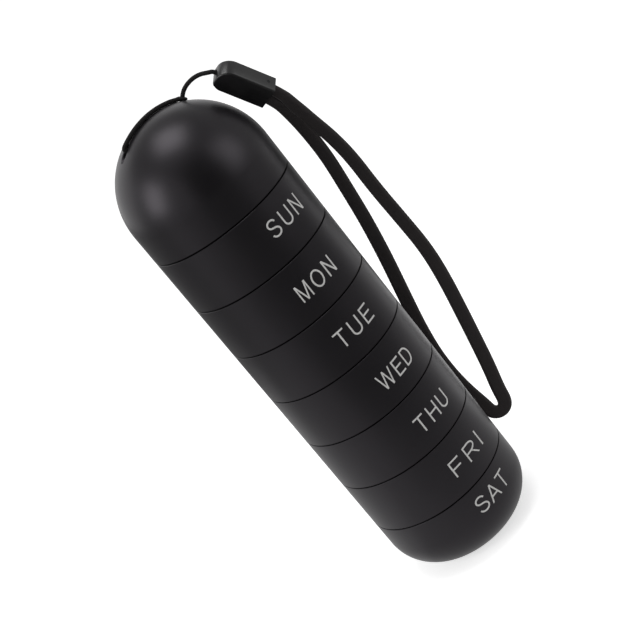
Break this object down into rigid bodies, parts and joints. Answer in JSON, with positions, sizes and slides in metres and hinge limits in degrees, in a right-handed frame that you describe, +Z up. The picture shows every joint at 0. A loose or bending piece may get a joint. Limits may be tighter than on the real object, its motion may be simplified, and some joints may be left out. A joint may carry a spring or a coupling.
{
  "type": "weekly pill case",
  "caption": "Capsule-shaped black pill case made of stacked day cups that screw together, with a domed screw cap and a wrist strap on a clip.",
  "frame": {"origin": "centre of the flat foot under the lowest day cup", "axes": "+Z up along the stack's axis, from the foot to the domed cap; the day marks face -Y; +X is on the right when the marks are read"},
  "size_m": [0.0549, 0.04, 0.1383],
  "materials": {
    "case": "satin black anodised",
    "seal": "matte black silicone",
    "cord": "twisted black nylon",
    "clip": "moulded black, slightly glossy",
    "pin": "darkened steel",
    "strap": "woven black polyester"
  },
  "bodies": {
    "sat_section": {"cup_sat": "case"},
    "sat_ring": {"seal_sat": "seal"},
    "fri_section": {"cup_fri": "case"},
    "fri_ring": {"seal_fri": "seal"},
    "thu_section": {"cup_thu": "case"},
    "thu_ring": {"seal_thu": "seal"},
    "wed_section": {"cup_wed": "case"},
    "wed_ring": {"seal_wed": "seal"},
    "tue_section": {"cup_tue": "case"},
    "tue_ring": {"seal_tue": "seal"},
    "mon_section": {"cup_mon": "case"},
    "mon_ring": {"seal_mon": "seal"},
    "sun_section": {"cup_sun": "case"},
    "sun_ring": {"seal_sun": "seal"},
    "cap": {"dome_cap": "case", "lanyard_cord": "cord", "cord_eye": "cord", "clip_body": "clip", "clip_pin": "pin", "wrist_strap": "strap"}
  },
  "joints": [
    {"name": "fri_turn", "type": "hinge", "parent": "sat_section", "child": "sat_ring", "pos_m": [0, 0, 0.0192], "axis": [0, 0, 1], "range_deg": [0, 1080]},
    {"name": "fri_lift", "type": "slide", "parent": "sat_ring", "child": "fri_section", "axis": [0, 0, 1], "range_m": [0, 0.006]},
    {"name": "thu_turn", "type": "hinge", "parent": "fri_section", "child": "fri_ring", "pos_m": [0, 0, 0.0342], "axis": [0, 0, 1], "range_deg": [0, 1080]},
    {"name": "thu_lift", "type": "slide", "parent": "fri_ring", "child": "thu_section", "axis": [0, 0, 1], "range_m": [0, 0.006]},
    {"name": "wed_turn", "type": "hinge", "parent": "thu_section", "child": "thu_ring", "pos_m": [0, 0, 0.0492], "axis": [0, 0, 1], "range_deg": [0, 1080]},
    {"name": "wed_lift", "type": "slide", "parent": "thu_ring", "child": "wed_section", "axis": [0, 0, 1], "range_m": [0, 0.006]},
    {"name": "tue_turn", "type": "hinge", "parent": "wed_section", "child": "wed_ring", "pos_m": [0, 0, 0.0642], "axis": [0, 0, 1], "range_deg": [0, 1080]},
    {"name": "tue_lift", "type": "slide", "parent": "wed_ring", "child": "tue_section", "axis": [0, 0, 1], "range_m": [0, 0.006]},
    {"name": "mon_turn", "type": "hinge", "parent": "tue_section", "child": "tue_ring", "pos_m": [0, 0, 0.0792], "axis": [0, 0, 1], "range_deg": [0, 1080]},
    {"name": "mon_lift", "type": "slide", "parent": "tue_ring", "child": "mon_section", "axis": [0, 0, 1], "range_m": [0, 0.006]},
    {"name": "sun_turn", "type": "hinge", "parent": "mon_section", "child": "mon_ring", "pos_m": [0, 0, 0.0942], "axis": [0, 0, 1], "range_deg": [0, 1080]},
    {"name": "sun_lift", "type": "slide", "parent": "mon_ring", "child": "sun_section", "axis": [0, 0, 1], "range_m": [0, 0.006]},
    {"name": "cap_turn", "type": "hinge", "parent": "sun_section", "child": "sun_ring", "pos_m": [0, 0, 0.1092], "axis": [0, 0, 1], "range_deg": [0, 1080]},
    {"name": "cap_lift", "type": "slide", "parent": "sun_ring", "child": "cap", "axis": [0, 0, 1], "range_m": [0, 0.006]}
  ],
  "couplings": [
    {"joint": "fri_lift", "follows": "fri_turn", "m_per_rad": 0.00031831},
    {"joint": "thu_lift", "follows": "thu_turn", "m_per_rad": 0.00031831},
    {"joint": "wed_lift", "follows": "wed_turn", "m_per_rad": 0.00031831},
    {"joint": "tue_lift", "follows": "tue_turn", "m_per_rad": 0.00031831},
    {"joint": "mon_lift", "follows": "mon_turn", "m_per_rad": 0.00031831},
    {"joint": "sun_lift", "follows": "sun_turn", "m_per_rad": 0.00031831},
    {"joint": "cap_lift", "follows": "cap_turn", "m_per_rad": 0.00031831}
  ]
}
